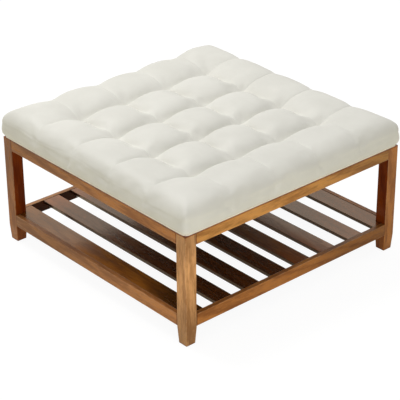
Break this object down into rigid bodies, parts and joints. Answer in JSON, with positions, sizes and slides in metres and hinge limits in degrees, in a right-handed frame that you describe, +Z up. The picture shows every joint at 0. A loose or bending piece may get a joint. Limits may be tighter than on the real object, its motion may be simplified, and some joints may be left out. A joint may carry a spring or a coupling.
{
  "type": "ottoman coffee table",
  "caption": "Square ottoman coffee table: a tufted cushion top on a wooden leg-and-rail frame with an open slatted shelf below.",
  "frame": {"origin": "on the floor at the middle of the square footprint", "axes": "+Z up; the shelf slats run along X; -Y faces the side that the picture shows at the left, +X the side that it shows at the right"},
  "size_m": [0.9042, 0.9042, 0.4717],
  "materials": {
    "block_wood": "bare softwood",
    "cover_leather": "smooth cream leather, soft sheen",
    "deck_plywood": "bare plywood",
    "dowel_wood": "bare beech",
    "dust_cloth": "black non-woven cloth",
    "fibre": "brown fibre washer",
    "foam": "open-cell foam",
    "frame_wood": "satin walnut-brown stain",
    "hem_leather": "smooth cream leather, folded",
    "nylon": "off-white nylon",
    "screw_steel": "zinc plating",
    "slat_wood": "satin walnut-brown stain",
    "staple_steel": "galvanised wire",
    "twine": "waxed twine",
    "zinc_steel": "bright zinc plating"
  },
  "bodies": {
    "root": {"apron_back": "frame_wood", "apron_dowels": "dowel_wood", "apron_front": "frame_wood", "apron_left": "frame_wood", "apron_right": "frame_wood", "corner_block_back_left": "block_wood", "corner_block_back_right": "block_wood", "corner_block_front_left": "block_wood", "corner_block_front_right": "block_wood", "corner_block_screws": "screw_steel", "deck_board": "deck_plywood", "deck_bolt_washers": "zinc_steel", "deck_bolts": "zinc_steel", "deck_tee_nuts": "zinc_steel", "dust_cloth": "dust_cloth", "dust_cloth_staples": "staple_steel", "foam_block": "foam", "foot_glides": "nylon", "hem_welt": "hem_leather", "leg_back_left": "frame_wood", "leg_back_right": "frame_wood", "leg_front_left": "frame_wood", "leg_front_right": "frame_wood", "lower_rail_back": "frame_wood", "lower_rail_dowels": "dowel_wood", "lower_rail_front": "frame_wood", "lower_rail_left": "frame_wood", "lower_rail_right": "frame_wood", "rail_screws_left": "screw_steel", "rail_screws_right": "screw_steel", "slat_1": "slat_wood", "slat_2": "slat_wood", "slat_3": "slat_wood", "slat_4": "slat_wood", "slat_5": "slat_wood", "slat_6": "slat_wood", "slat_7": "slat_wood", "slat_8": "slat_wood", "slat_braces_left": "zinc_steel", "slat_braces_right": "zinc_steel", "slat_screws_left": "screw_steel", "slat_screws_right": "screw_steel", "tuft_twines": "twine", "tuft_washers": "fibre", "tufted_cover": "cover_leather"}
  },
  "joints": []
}
